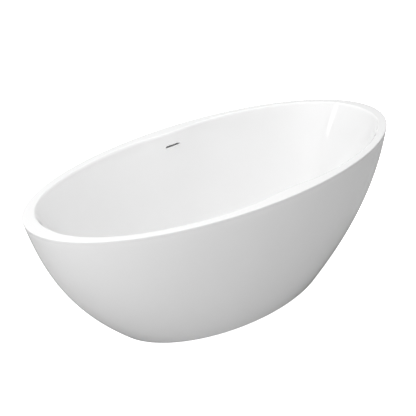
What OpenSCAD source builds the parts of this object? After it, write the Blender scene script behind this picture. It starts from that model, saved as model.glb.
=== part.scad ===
// Freestanding oval bathtub with a double wall: a one-piece basin inside a separate outer skirt,
// carried by a steel frame on four screw feet, with a slot overflow and a push-open waste.
// Millimetres, +Z up. The origin is on the floor under the middle of the rim. +X runs along the tub
// towards its steeper end, +Y points at the overflow wall.

/* [Tub outline] */
// Length over the rim
tub_length = 1700; // [1680:1:1720]
// Width over the rim
tub_width = 770; // [760:1:785]
// Height of the rim above the floor
tub_height = 575; // [565:1:585]
// Length of the oval that the skirt makes on the floor
base_length = 1020; // [1000:1:1040]
// Width of the oval that the skirt makes on the floor
base_width = 554; // [545:1:560]

/* [Basin] */
// Length of the opening between the rim's inner edges
opening_length = 1593; // [1585:1:1600]
// Width of the opening's oval before its sides are drawn in
opening_width = 699; // [690:1:702]
// How far each long side is drawn in at mid-length
waist_depth = 16.3; // [10:0.1:18]
// Height of the inner floor at the waste
floor_height = 130; // [128:1:134]
// Thickness of the basin's wall
basin_wall = 8; // [6:0.5:9]
// Angle of the long inner walls from vertical
side_lean = 16.2; // [15:0.1:17]
// Angle of the inner end walls from vertical
end_lean = 30; // [28:0.5:31]

/* [Skirt] */
// Thickness of the skirt's wall
skirt_wall = 5; // [4:0.5:6]
// Gap between the skirt's lower edge and the floor
skirt_gap = 2; // [1:0.5:4]
// Width of the flange that returns under the skirt
skirt_flange = 40; // [34:1:44]

/* [Overflow] */
// Length of the overflow slot
slot_length = 73; // [66:1:76]
// Height of the overflow slot
slot_height = 7; // [6:0.5:8]
// Depth of the slot's centre below the rim
slot_drop = 53; // [50:1:56]

/* [Frame and feet] */
// Side of the square frame tube
tube_side = 30; // [28:1:30]
// Wall of the square frame tube
tube_wall = 2; // [1.5:0.5:2.5]
// Distance of each long rail from the middle
rail_offset = 130; // [126:1:134]
// Length of the long rails
rail_length = 800; // [780:1:820]
// Distance of each foot from the middle, along the tub
foot_offset = 330; // [320:1:340]
// Diameter of the threaded foot stud
stud_d = 12; // [12:1:12]

/* [Waste] */
// Diameter of the waste flange
flange_d = 72; // [70:1:73]
// Diameter of the outlet pipe's free end
outlet_d = 38; // [36:0.5:39]

/* [Hidden] */
$fn = 48;

// Colours
acrylic = "#f5f5f3";
skirt_acrylic = "#eeeeec";
chrome = "#c9ccd0";
steel = "#9fa3a8";
powder_coat = "#3b3e42";
timber = "#b98f5e";
black_rubber = "#232323";
pad_plastic = "#2f3032";
white_plastic = "#e4e4e0";
grey_plastic = "#a7a9aa";
brass = "#b8964f";

// Number of points round an oval section
around = 64;
// A very small overlap for cuts that have to break through a face
cut = 1;
// Running clearance between a stud and the nuts and sockets round it
thread_gap = 0.1;

// ---------------------------------------------------------------- general shapes

// Joins a list of closed rings of equal length into one solid. With wrap, the last ring joins the
// first, which makes a hollow ring; without it, the first and last rings are closed by flat ends.
module loft(rings, wrap) {
    n = len(rings[0]);
    m = len(rings);
    bands = wrap ? m : m - 1;
    sides = [for (j = [0 : bands - 1], i = [0 : n - 1])
        let (a = j * n + i, b = j * n + (i + 1) % n)
        let (d = ((j + 1) % m) * n + i, c = ((j + 1) % m) * n + (i + 1) % n)
        each [[a, d, c], [a, c, b]]];
    first_end = [for (i = [0 : n - 1]) i];
    last_end = [for (i = [0 : n - 1]) m * n - 1 - i];
    polyhedron([for (ring = rings) each ring], concat(sides, wrap ? [] : [first_end, last_end]), 10);
}

// A bar with round ends, long along X and standing along Y between two depths
module slot_bar(length, height, from, to) {
    r = height / 2;
    for (side = [-1, 1]) {
        translate([side * (length / 2 - r), from, 0])
            rotate([-90, 0, 0])
            cylinder(h = to - from, r = r);
    }
    translate([r - length / 2, from, -r])
        cube([length - height, to - from, height]);
}

// A plate centred in X and Z that spans two depths along Y
module plate(length, height, from, to) {
    translate([-length / 2, from, -height / 2])
        cube([length, to - from, height]);
}

// A washer or tube between two heights
module ring(r_in, r_out, from, to) {
    difference() {
        translate([0, 0, from])
            cylinder(h = to - from, r = r_out);
        translate([0, 0, from - cut])
            cylinder(h = to - from + 2 * cut, r = r_in);
    }
}

// A hexagon nut with a round bore between two heights
module hex_nut(across_flats, r_bore, from, to) {
    difference() {
        translate([0, 0, from])
            cylinder(h = to - from, d = across_flats / cos(30), $fn = 6);
        translate([0, 0, from - cut])
            cylinder(h = to - from + 2 * cut, r = r_bore);
    }
}

// A screw that points up, with its pan head below height zero and a hexagon socket in the head
module screw_up(shank_d, length, head_d, head_h) {
    socket_d = head_d * 0.5;
    difference() {
        union() {
            cylinder(h = length, d = shank_d);
            translate([0, 0, -head_h])
                cylinder(h = head_h, d = head_d);
        }
        translate([0, 0, -head_h - cut])
            cylinder(h = head_h * 0.6 + cut, d = socket_d, $fn = 6);
    }
}

// ---------------------------------------------------------------- the tub's surfaces

half_l = tub_length / 2;
half_w = tub_width / 2;

// Rise of a bulging side from 0 at the floor to 1 at the rim. A share of it is a straight slope and
// the rest a curve that is steep at the floor and upright at the rim.
function rise(u, straight, bulge) = straight * u + (1 - straight) * (1 - pow(1 - u, bulge));
left_straight = 0.446;
left_bulge = 2.53;
right_straight = 0.243;
right_bulge = 2.37;
side_bulge = 2;

// Half-sizes of the outer surface at a height: the left end, the right end and the sides
function grown(base, rim, share) = base / 2 + (rim - base / 2) * share;
function outer_left(z) = grown(base_length, half_l, rise(z / tub_height, left_straight, left_bulge));
function outer_right(z) = grown(base_length, half_l, rise(z / tub_height, right_straight, right_bulge));
function outer_side(z) = grown(base_width, half_w, rise(z / tub_height, 0, side_bulge));

// Level thickness that gives a wall of the skirt's thickness on each of the three slopes
function level_wall(slope) = skirt_wall * sqrt(1 + slope * slope);
slope_step = 1;
function end_slope(z) = (outer_left(z + slope_step) - outer_left(z)) / slope_step;
function side_slope(z) = (outer_side(z + slope_step) - outer_side(z)) / slope_step;

// One level ring of the outer surface, set in from it by different amounts at the ends and sides
function outer_ring(z, in_end, in_side) = [for (i = [0 : around - 1])
    let (t = 360 * i / around)
    let (a = cos(t) > 0 ? outer_right(z) : outer_left(z))
    [(a - in_end) * cos(t), (outer_side(z) - in_side) * sin(t), z]];

// A level ring inside the rim's full outline
function rim_ring(z, inset) = [for (p = outer_ring(tub_height, inset, inset)) [p[0], p[1], z]];

// Basin: every ring is a slightly squared oval whose long sides are drawn in near mid-length
waist_length = 144;
opening_a = opening_length / 2;
opening_b = opening_width / 2;
squareness = 2.125;
waist_fade = 420;
lip_drop = 8;
lip_inset = 5;
// Points down the lip, each as an inset from the opening's edge and a depth below the rim
lip_line = [[-3, 0], [0, 0.8], [2.5, 3.2], [lip_inset, lip_drop]];
wall_foot = 200;
bowl_edge = floor_height + 4;
board_top = floor_height - 10;

function signed_power(v, e) = sign(v) * pow(abs(v), e);
function basin_ring(z, a, b, waist) = [for (i = [0 : around - 1])
    let (t = 360 * i / around)
    let (x = a * signed_power(cos(t), 2 / squareness))
    let (y = b * signed_power(sin(t), 2 / squareness))
    [x, y - sign(y) * waist * exp(-pow(x / waist_length, 2)), z]];

// Half-sizes of the straight inner wall at a height, and how far it is drawn in there
function wall_a(z) = opening_a - lip_inset - (tub_height - lip_drop - z) * tan(end_lean);
function wall_b(z) = opening_b - lip_inset - (tub_height - lip_drop - z) * tan(side_lean);
function waist_at(z) = waist_depth * max(0, 1 - (tub_height - z) / waist_fade);

// The curve from the foot of the wall to the flat of the bowl: a quadratic arc with tangent ends
function arc_blend(p0, p1, p2, s) = (1 - s) * (1 - s) * p0 + 2 * s * (1 - s) * p1 + s * s * p2;
function bowl_ring(s, z_flat, a_flat, b_flat, grow_a, grow_b) =
    let (foot = [wall_a(wall_foot) + grow_a, wall_b(wall_foot) + grow_b, wall_foot])
    let (corner = [wall_a(z_flat) + grow_a, wall_b(z_flat) + grow_b, z_flat])
    let (p = arc_blend(foot, corner, [a_flat, b_flat, z_flat], s))
    basin_ring(p[2], p[0], p[1], waist_at(wall_foot) * (1 - s));

bowl_a = 470;
bowl_b = 150;
// Half-sizes and height of a ring half-way over the floor, and the radius of the flat at the waste
floor_mid = [250, 115, floor_height + 1.5];
floor_flat_r = 80;
back_a = basin_wall / cos(end_lean);
back_b = basin_wall / cos(side_lean);
rim_thick = 8;
rim_edge_drop = 12;
rim_edge_width = 14;
rim_radius = 5;
seam_chamfer = 1;
fillet_drop = 6;
fillet_inset = 3;
rim_underside = tub_height - rim_thick;
seam_z = tub_height - rim_edge_drop;
wall_levels = [wall_foot, 270, 340, 410, 480, 530];

// ---------------------------------------------------------------- basin

basin_rings = concat(
    // Underside, from the flat over the board up the back of the wall
    [for (s = [1, 0.75, 0.5, 0.25])
        bowl_ring(s, board_top, bowl_a + basin_wall, bowl_b + basin_wall, back_a, back_b)],
    [for (z = wall_levels) basin_ring(z, wall_a(z) + back_a, wall_b(z) + back_b, waist_at(z))],
    [for (step = [[fillet_drop, 0], [0, fillet_inset]])
        let (z = rim_underside - step[0])
        basin_ring(z, wall_a(z) + back_a + step[1], wall_b(z) + back_b + step[1], waist_at(rim_underside))],
    // Under the rim, down its edge and round its outer corner
    [for (z = [rim_underside, seam_z])
        [for (q = outer_ring(seam_z, rim_edge_width, rim_edge_width)) [q[0], q[1], z]]],
    [outer_ring(seam_z, seam_chamfer, seam_chamfer)],
    [outer_ring(seam_z + seam_chamfer, 0, 0)],
    [for (a = [0, 45, 90])
        rim_ring(tub_height - rim_radius * (1 - sin(a)), rim_radius * (1 - cos(a)))],
    // Over the rim's lip and down the inside
    [for (lip = lip_line)
        let (z = tub_height - lip[1])
        basin_ring(z, opening_a - lip[0], opening_b - lip[0], waist_at(z))],
    [for (k = [len(wall_levels) - 1 : -1 : 0])
        basin_ring(wall_levels[k], wall_a(wall_levels[k]), wall_b(wall_levels[k]), waist_at(wall_levels[k]))],
    [for (s = [0.25, 0.5, 0.75, 1]) bowl_ring(s, bowl_edge, bowl_a, bowl_b, 0, 0)],
    [basin_ring(floor_mid[2], floor_mid[0], floor_mid[1], 0)],
    [basin_ring(floor_height, floor_flat_r, floor_flat_r, 0)]
);

// Frame of the overflow: its origin is the slot's centre on the inner wall, -Y faces the bather
slot_z = tub_height - slot_drop;
slot_y = wall_b(slot_z) - waist_at(slot_z);
module at_overflow() {
    translate([0, slot_y, slot_z])
        rotate([-side_lean, 0, 0])
        children();
}
// The slot's outline, grown by a border on every side
module grown_slot(border, from, to) {
    slot_bar(slot_length + 2 * border, slot_height + 2 * border, from, to);
}
seat_depth = 1.2;
boss_from = 4;
boss_to = 12;
boss_l = 112;
boss_h = 46;
trim_border = 3;
trim_proud = 0.8;
trim_gap = 0.5;
sleeve_wall = 1.6;
sleeve_gap = 0.4;
sleeve_to = 9;
front_reach = 6;
box_screw_bite = 5;
box_screw_x = 49;

// Recess and hole of the waste
recess_depth = 3;
recess_z = floor_height - recess_depth;
recess_r = flange_d / 2 + 1.5;
waste_hole_r = 25;

module inner_basin() {
    color(acrylic)
    difference() {
        union() {
            loft(basin_rings, false);
            at_overflow()
                plate(boss_l, boss_h, boss_from, boss_to);
        }
        translate([0, 0, recess_z])
            cylinder(h = 2 * recess_depth, r = recess_r);
        translate([0, 0, board_top - cut])
            cylinder(h = floor_height, r = waste_hole_r);
        at_overflow() {
            grown_slot(trim_border + trim_gap, -front_reach, seat_depth);
            grown_slot(sleeve_wall + sleeve_gap, -front_reach, boss_to + cut);
            for (side = [-1, 1]) {
                translate([side * box_screw_x, boss_to - box_screw_bite, 0])
                    rotate([-90, 0, 0])
                    cylinder(h = box_screw_bite + cut, r = 1.8);
            }
        }
    }
}

// ---------------------------------------------------------------- skirt

flange_thick = 6;
flange_top = skirt_gap + flange_thick;
foot_round = 2.5;
shelf_drop = 5;
flange_root = [12, 10];
skirt_levels = [20, 45, 80, 125, 180, 245, 315, 390, 460, 515, 548];
skirt_rings = concat(
    [outer_ring(skirt_gap, foot_round, foot_round)],
    [outer_ring(skirt_gap + foot_round, 0, 0)],
    [for (z = skirt_levels) outer_ring(z, 0, 0)],
    [outer_ring(seam_z - seam_chamfer, 0, 0)],
    [outer_ring(seam_z, seam_chamfer, seam_chamfer)],
    [outer_ring(seam_z, rim_edge_width, rim_edge_width)],
    [outer_ring(seam_z - shelf_drop, rim_edge_width, rim_edge_width)],
    [for (k = [len(skirt_levels) - 1 : -1 : 0])
        let (z = skirt_levels[k])
        outer_ring(z, level_wall(end_slope(z)), level_wall(side_slope(z)))],
    [outer_ring(flange_top, flange_root[0], flange_root[1])],
    [outer_ring(flange_top, skirt_flange, skirt_flange)],
    [outer_ring(skirt_gap, skirt_flange, skirt_flange)]
);

// Brackets stand at these places: along the tub, and which long side
bracket_x = 200;
bracket_places = [[-1, -1], [1, -1], [1, 1], [-1, 1]];
bracket_w = 40;
bracket_thick = 3;
bracket_reach = 235;
flange_screw_y = 222;
flange_screw_d = 4.8;

module outer_skirt() {
    color(skirt_acrylic)
    difference() {
        loft(skirt_rings, true);
        for (p = bracket_places) {
            translate([p[0] * bracket_x, p[1] * flange_screw_y, skirt_gap + 1])
                cylinder(h = flange_thick, d = flange_screw_d + 0.1);
        }
    }
}

// ---------------------------------------------------------------- board and frame

board_thick = 18;
board_l = 880;
board_w = 300;
board_corner = 60;
board_z = board_top - board_thick;
board_hole_r = 45;
rail_z = board_z - tube_side;
rail_screw_x = [-380, -180, 180, 380];
rail_screw_d = 6;
rail_screw_bite = 12;

module base_board() {
    color(timber)
    difference() {
        union() {
            for (sx = [-1, 1], sy = [-1, 1]) {
                translate([sx * (board_l / 2 - board_corner), sy * (board_w / 2 - board_corner), board_z])
                    cylinder(h = board_thick, r = board_corner);
            }
            translate([-board_l / 2, board_corner - board_w / 2, board_z])
                cube([board_l, board_w - 2 * board_corner, board_thick]);
            translate([board_corner - board_l / 2, -board_w / 2, board_z])
                cube([board_l - 2 * board_corner, board_w, board_thick]);
        }
        translate([0, 0, board_z - cut])
            cylinder(h = board_thick + 2 * cut, r = board_hole_r);
        for (x = rail_screw_x, side = [-1, 1]) {
            translate([x, side * rail_offset, board_z - cut])
                cylinder(h = rail_screw_bite + 1 + cut, d = rail_screw_d + 0.1);
        }
    }
}

// A square tube from the origin along X, its bore open at both ends
module square_tube(length) {
    difference() {
        translate([0, -tube_side / 2, 0])
            cube([length, tube_side, tube_side]);
        translate([-cut, tube_wall - tube_side / 2, tube_wall])
            cube([length + 2 * cut, tube_side - 2 * tube_wall, tube_side - 2 * tube_wall]);
    }
}

stud_r = stud_d / 2;
bracket_screw_z = 80;
bracket_screw_dx = 12;
bracket_screw_d = 4;

// A long rail, with screw holes to the board, openings for the studs and holes for its brackets
module frame_rail(side) {
    color(powder_coat)
    difference() {
        translate([-rail_length / 2, side * rail_offset, rail_z])
            square_tube(rail_length);
        for (x = rail_screw_x) {
            translate([x, side * rail_offset, rail_z - cut])
                cylinder(h = tube_side + 2 * cut, d = rail_screw_d + 0.6);
        }
        for (end = [-1, 1]) {
            translate([end * foot_offset, side * rail_offset, rail_z - cut])
                cylinder(h = tube_wall + 2 * cut, r = stud_r + 1);
            for (dx = [-bracket_screw_dx, bracket_screw_dx]) {
                translate([end * bracket_x + dx, side * (rail_offset + tube_side / 2 - tube_wall / 2),
                    bracket_screw_z])
                    rotate([90, 0, 0])
                    cylinder(h = tube_wall + 2 * cut, d = bracket_screw_d + 0.1, center = true);
            }
        }
    }
}
module frame_rail_front() {
    frame_rail(-1);
}
module frame_rail_rear() {
    frame_rail(1);
}

// A crossbar is welded between the two rails
crossbar_x = 250;
module frame_crossbar(side) {
    length = 2 * rail_offset - tube_side;
    color(powder_coat)
        translate([side * crossbar_x, -length / 2, rail_z])
        rotate([0, 0, 90])
        square_tube(length);
}
module frame_crossbar_left() {
    frame_crossbar(-1);
}
module frame_crossbar_right() {
    frame_crossbar(1);
}

// Screws up through the rails into the board
module frame_screws() {
    color(steel)
    for (x = rail_screw_x, side = [-1, 1]) {
        translate([x, side * rail_offset, rail_z])
            screw_up(rail_screw_d, tube_side + rail_screw_bite, 12, 3.5);
    }
}

// ---------------------------------------------------------------- skirt brackets

// A bracket hangs on the rail's outer face and its foot lies on the skirt's flange
module skirt_bracket(k) {
    p = bracket_places[k - 1];
    face_y = rail_offset + tube_side / 2;
    color(powder_coat)
    translate([p[0] * bracket_x, 0, 0])
    mirror([0, p[1] < 0 ? 1 : 0, 0])
    difference() {
        union() {
            translate([-bracket_w / 2, face_y, flange_top])
                cube([bracket_w, bracket_thick, rail_z + tube_side - flange_top]);
            translate([-bracket_w / 2, face_y, flange_top])
                cube([bracket_w, bracket_reach - face_y, bracket_thick]);
        }
        for (dx = [-bracket_screw_dx, bracket_screw_dx]) {
            translate([dx, face_y + bracket_thick / 2, bracket_screw_z])
                rotate([90, 0, 0])
                cylinder(h = bracket_thick + 2 * cut, d = bracket_screw_d + 0.4, center = true);
        }
        translate([0, flange_screw_y, flange_top - cut])
            cylinder(h = bracket_thick + 2 * cut, d = flange_screw_d + 0.4);
    }
}

// Two short screws hold each bracket to its rail
module bracket_screws() {
    color(steel)
    for (p = bracket_places, dx = [-bracket_screw_dx, bracket_screw_dx]) {
        translate([p[0] * bracket_x + dx, p[1] * (rail_offset + tube_side / 2 + bracket_thick),
            bracket_screw_z])
            rotate([p[1] * 90, 0, 0])
            screw_up(bracket_screw_d, bracket_thick + tube_wall + 4, 8, 2.6);
    }
}

// One screw holds each bracket's foot down on the skirt's flange
module flange_screws() {
    color(steel)
    for (p = bracket_places) {
        translate([p[0] * bracket_x, p[1] * flange_screw_y, flange_top + bracket_thick])
            rotate([180, 0, 0])
            screw_up(flange_screw_d, bracket_thick + 4.5, 9.5, 2.8);
    }
}

// ---------------------------------------------------------------- feet

foot_places = [[-1, -1], [1, -1], [1, 1], [-1, 1]];
module at_foot(k) {
    p = foot_places[k - 1];
    translate([p[0] * foot_offset, p[1] * rail_offset, 0])
        children();
}
weld_nut_h = 10;
lock_nut_h = 8;
nut_flats = 19;
socket_floor = 8;
hub_top = 20;
hub_r = 11;
pad_r = 26;
collar_flats = 17;
collar_h = 6;
collar_rise = 2;
tip_chamfer = 1;
stud_top = rail_z + tube_side - tube_wall - 2;

// Nuts welded under the rails
module frame_weld_nuts() {
    color(steel)
    for (k = [1 : 4]) {
        at_foot(k)
            hex_nut(nut_flats, stud_r + thread_gap, rail_z - weld_nut_h, rail_z);
    }
}

// Lock nuts tightened up against the weld nuts
module foot_lock_nuts() {
    top = rail_z - weld_nut_h;
    color(steel)
    for (k = [1 : 4]) {
        at_foot(k)
            hex_nut(nut_flats, stud_r + thread_gap, top - lock_nut_h, top);
    }
}

// A pad stands on the floor, and the stud's foot turns in its socket
module foot_pad(k) {
    color(pad_plastic)
    at_foot(k)
    rotate_extrude()
    polygon([[0, 0], [pad_r - 1.5, 0], [pad_r, 1.5], [pad_r, 4], [pad_r - 3, 6], [hub_r + 3, 8],
        [hub_r, 11], [hub_r, hub_top - 1], [hub_r - 1, hub_top], [stud_r + thread_gap, hub_top],
        [stud_r + thread_gap, socket_floor], [0, socket_floor]]);
}

// A stud runs from the pad's socket through both nuts into the rail, with a hexagon collar
module foot_stud(k) {
    color(steel)
    at_foot(k) {
        translate([0, 0, socket_floor + thread_gap])
            cylinder(h = stud_top - socket_floor - thread_gap - tip_chamfer, r = stud_r);
        translate([0, 0, stud_top - tip_chamfer])
            cylinder(h = tip_chamfer, r1 = stud_r, r2 = stud_r - tip_chamfer);
        translate([0, 0, hub_top + collar_rise])
            cylinder(h = collar_h, d = collar_flats / cos(30), $fn = 6);
    }
}

// ---------------------------------------------------------------- overflow

gasket_t = 2;
gasket_gap = 0.15;
box_face = boss_to + gasket_t;
box_plate_t = 3;
box_back = 42;
box_l = 88;
box_h = 32;
box_wall = 2.5;
box_flange_l = 108;
box_flange_h = 42;
spout_y = 30;
spout_end = 46;
hose_r = 14;
hose_bore = 11;

// Slot bezel with a sleeve that reaches into the wall
module overflow_trim() {
    color(acrylic)
    at_overflow()
    difference() {
        union() {
            grown_slot(trim_border, -trim_proud, seat_depth);
            grown_slot(sleeve_wall, 0, sleeve_to);
        }
        grown_slot(0, -trim_proud - cut, sleeve_to + cut);
    }
}

// Flat gasket between the wall's boss and the box, just clear of both
module overflow_gasket() {
    color(black_rubber)
    at_overflow()
    difference() {
        plate(box_flange_l, box_flange_h, boss_to + gasket_gap, box_face - gasket_gap);
        plate(box_l - 2 * box_wall, box_h - 2 * box_wall, boss_to - cut, box_face + cut);
        for (side = [-1, 1]) {
            translate([side * box_screw_x, boss_to - cut, 0])
                rotate([-90, 0, 0])
                cylinder(h = gasket_t + 2 * cut, r = 2.2);
        }
    }
}

// Box behind the slot, open towards the wall, with a spout below
module overflow_box() {
    color(white_plastic)
    at_overflow()
    difference() {
        union() {
            plate(box_flange_l, box_flange_h, box_face, box_face + box_plate_t);
            plate(box_l, box_h, box_face, box_back);
            translate([0, spout_y, -spout_end])
                cylinder(h = spout_end - box_h / 2 + 1, r = hose_r);
        }
        plate(box_l - 2 * box_wall, box_h - 2 * box_wall, box_face - cut, box_back - box_wall);
        translate([0, spout_y, -spout_end - cut])
            cylinder(h = spout_end, r = hose_bore);
        for (side = [-1, 1]) {
            translate([side * box_screw_x, box_face - cut, 0])
                rotate([-90, 0, 0])
                cylinder(h = box_plate_t + 2 * cut, r = 2.2);
        }
    }
}

// Two screws through the box's plate into the wall's boss
module overflow_screws() {
    color(steel)
    at_overflow()
    for (side = [-1, 1]) {
        translate([side * box_screw_x, box_face + box_plate_t, 0])
            rotate([90, 0, 0])
            screw_up(3.5, box_plate_t + gasket_t + 4, 7, 2.4);
    }
}

// Route of the hose in the YZ plane, from the box's spout down between the walls, under the rear
// rail and into the side of the waste body
spout_tip = [slot_y + spout_y * cos(side_lean) - spout_end * sin(side_lean),
    slot_z - spout_y * sin(side_lean) - spout_end * cos(side_lean)];
hose_start = 13;
spout_way = [-sin(side_lean), -cos(side_lean)];
inlet_z = 54;
inlet_tip = 46;
hose_route = [spout_tip, spout_tip + hose_start * spout_way, [320, 424], [311, 370], [306, 300], [302, 232],
    [291, 168], [266, 114], [228, 76], [180, 58], [130, 54], [85, 54], [inlet_tip, inlet_z]];
hose_steps = 3;
hose_sides = 12;

// Point of a smooth curve through the route: piece k, fraction s
function route_at(k) = hose_route[max(0, min(len(hose_route) - 1, k))];
function curve_point(k, s) =
    let (a = route_at(k - 1), b = route_at(k), c = route_at(k + 1), d = route_at(k + 2))
    0.5 * (2 * b + s * (c - a) + s * s * (2 * a - 5 * b + 4 * c - d) + s * s * s * (3 * b - a - 3 * c + d));
hose_line = concat(
    [for (k = [0 : len(hose_route) - 2], j = [0 : hose_steps - 1]) curve_point(k, j / hose_steps)],
    [hose_route[len(hose_route) - 1]]
);
last_step = len(hose_line) - 1;
// Directions of the hose along its line; its two ends run straight out of their spouts
function hose_dir(j) = j == 0 ? spout_way
    : j == last_step ? [-1, 0]
    : let (d = hose_line[j + 1] - hose_line[j - 1]) d / norm(d);
function hose_ring(j, r) = [for (i = [0 : hose_sides - 1])
    let (t = 360 * i / hose_sides, d = hose_dir(j), p = hose_line[j])
    [r * cos(t), p[0] - d[1] * r * sin(t), p[1] + d[0] * r * sin(t)]];

module overflow_hose() {
    rings = concat(
        [for (j = [0 : last_step]) hose_ring(j, hose_r)],
        [for (j = [last_step : -1 : 0]) hose_ring(j, hose_bore)]
    );
    color(grey_plastic)
        loft(rings, true);
}

// Union nuts over the hose's two ends
hose_nut_half = 10;
nut_wall = 3.5;
grip_r = 1.6;
grips = 12;
module hose_nut() {
    difference() {
        translate([0, 0, -hose_nut_half])
            cylinder(h = 2 * hose_nut_half, r = hose_r + nut_wall);
        translate([0, 0, -hose_nut_half - cut])
            cylinder(h = 2 * (hose_nut_half + cut), r = hose_r + 0.1);
        for (i = [0 : grips - 1]) {
            rotate([0, 0, 360 * i / grips])
                translate([hose_r + nut_wall + grip_r / 2, 0, -hose_nut_half - cut])
                cylinder(h = 2 * (hose_nut_half + cut), r = grip_r);
        }
    }
}
module hose_nut_upper() {
    color(white_plastic)
        at_overflow()
        translate([0, spout_y, -spout_end])
        hose_nut();
}
module hose_nut_lower() {
    color(white_plastic)
        translate([0, inlet_tip, inlet_z])
        rotate([90, 0, 0])
        hose_nut();
}

// ---------------------------------------------------------------- waste

seal_t = 1;
flange_z = recess_z + seal_t;
flange_t = 3;
flange_top_z = flange_z + flange_t;
flange_r = flange_d / 2;
sleeve_r = 24.5;
sleeve_bore = 21;
sleeve_bottom = 84;
cross_z = 96;
cross_t = 4;
cross_boss_r = 11;
barrel_r = 8;
waste_gasket_t = 3;
body_top = board_top - waste_gasket_t;

// Chromed flange with its sleeve, and a strainer cross with a boss for the cartridge
module drain_flange() {
    color(chrome) {
        rotate_extrude()
        polygon([[sleeve_r, sleeve_bottom], [sleeve_r, flange_z], [flange_r - 0.5, flange_z],
            [flange_r, flange_z + 0.8], [flange_r - 0.8, flange_top_z - 0.7], [flange_r - 3, flange_top_z],
            [sleeve_bore + 3.5, flange_top_z], [sleeve_bore, flange_top_z - 5],
            [sleeve_bore, sleeve_bottom]]);
        difference() {
            union() {
                translate([0, 0, cross_z])
                    cylinder(h = cross_t, r = cross_boss_r);
                intersection() {
                    translate([0, 0, cross_z])
                        cylinder(h = cross_t, r = sleeve_bore + 0.5);
                    for (turn = [0, 90]) {
                        rotate([0, 0, turn])
                            translate([-flange_r, -1.75, cross_z])
                            cube([2 * flange_r, 3.5, cross_t]);
                    }
                }
            }
            translate([0, 0, cross_z - cut])
                cylinder(h = cross_t + 2 * cut, r = barrel_r + 0.1);
        }
    }
}

module drain_flange_seal() {
    color(black_rubber)
        ring(waste_hole_r + 0.5, flange_r - 1, recess_z, flange_z);
}

module drain_gasket() {
    color(black_rubber)
        ring(waste_hole_r, body_flange_r - 1, body_top, board_top);
}

body_bore = sleeve_r + 0.2;
body_r = 29;
body_flange_t = 5;
body_flange_r = 38;
chamber_floor = 40;
chamber_floor_t = 4;
spigot_bottom = 28;
spigot_r = 24;
pipe_r = 20;

// Waste body: a cup under the basin with the overflow's inlet on its side and a spigot below
module drain_body() {
    color(white_plastic)
    difference() {
        union() {
            translate([0, 0, body_top - body_flange_t])
                cylinder(h = body_flange_t, r = body_flange_r);
            translate([0, 0, chamber_floor - chamber_floor_t])
                cylinder(h = body_top - chamber_floor, r = body_r);
            translate([0, 0, spigot_bottom])
                cylinder(h = chamber_floor - spigot_bottom, r = spigot_r);
            translate([0, inlet_tip, inlet_z])
                rotate([90, 0, 0])
                cylinder(h = inlet_tip - body_bore, r = hose_r);
        }
        translate([0, 0, chamber_floor])
            cylinder(h = body_top, r = body_bore);
        translate([0, 0, spigot_bottom - cut])
            cylinder(h = chamber_floor, r = pipe_r + 0.1);
        translate([0, inlet_tip + cut, inlet_z])
            rotate([90, 0, 0])
            cylinder(h = inlet_tip, r = hose_bore);
    }
}

washer_t = 2;
nut_top = 36;
nut_bottom = 20;
nut_r = 29;
nut_grips = 16;
pipe_top = 38;
pipe_bottom = 3;
pipe_wall = 2;

// Outlet pipe: a collar slides up in the spigot and the free end points down to the floor
module tailpiece() {
    color(grey_plastic)
    rotate_extrude()
    polygon([[outlet_d / 2 - pipe_wall, pipe_bottom], [outlet_d / 2, pipe_bottom], [outlet_d / 2, nut_bottom],
        [pipe_r, nut_bottom + 1], [pipe_r, pipe_top], [outlet_d / 2 - pipe_wall, pipe_top]]);
}

module tailpiece_washer() {
    color(black_rubber)
        ring(pipe_r + 0.1, spigot_r - 0.3, spigot_bottom - washer_t, spigot_bottom);
}

// Slip nut: its lip lifts the washer against the spigot's end
module tailpiece_nut() {
    color(white_plastic)
    difference() {
        translate([0, 0, nut_bottom + 1])
            cylinder(h = nut_top - nut_bottom - 1, r = nut_r);
        translate([0, 0, nut_bottom])
            cylinder(h = nut_top, r = pipe_r + 0.3);
        translate([0, 0, spigot_bottom - washer_t])
            cylinder(h = nut_top, r = spigot_r + 0.2);
        for (i = [0 : nut_grips - 1]) {
            rotate([0, 0, 360 * i / nut_grips])
                translate([nut_r + 1, 0, nut_bottom])
                cylinder(h = nut_top, r = 2);
        }
    }
}

// ---------------------------------------------------------------- stopper

stopper_gap = 0.2;
seal_ring_t = 2;
cap_z = flange_top_z + stopper_gap + seal_ring_t;
cap_r = 32.5;
cap_t = 5;
cap_boss_r = 8;
cap_boss_h = 5;
stem_r = 3.5;
stem_bottom = 88;
stem_gap = 0.05;

// Domed cap with a boss under it that takes the stem
module stopper_cap() {
    color(chrome)
    difference() {
        rotate_extrude()
        polygon([[0, cap_z - cap_boss_h], [cap_boss_r, cap_z - cap_boss_h], [cap_boss_r, cap_z],
            [cap_r - 0.8, cap_z], [cap_r, cap_z + 0.8], [cap_r, cap_z + 1.8], [cap_r - 1, cap_z + 2.8],
            [cap_r * 0.75, cap_z + 3.9], [cap_r * 0.45, cap_z + 4.7], [cap_r * 0.2, cap_z + cap_t],
            [0, cap_z + cap_t]]);
        translate([0, 0, cap_z - cap_boss_h - cut])
            cylinder(h = cap_boss_h + 1 + cut, r = stem_r + stem_gap);
    }
}

module stopper_seal() {
    color(black_rubber)
        ring(26, 31, cap_z - seal_ring_t, cap_z);
}

// Stem with a collar at its lower end, which the spring pushes
module stopper_stem() {
    color(steel) {
        translate([0, 0, stem_bottom])
            cylinder(h = cap_z + 0.8 - stem_bottom, r = stem_r);
        translate([0, 0, stem_bottom])
            cylinder(h = barrel_floor, r = barrel_bore - 0.4);
    }
}

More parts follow.
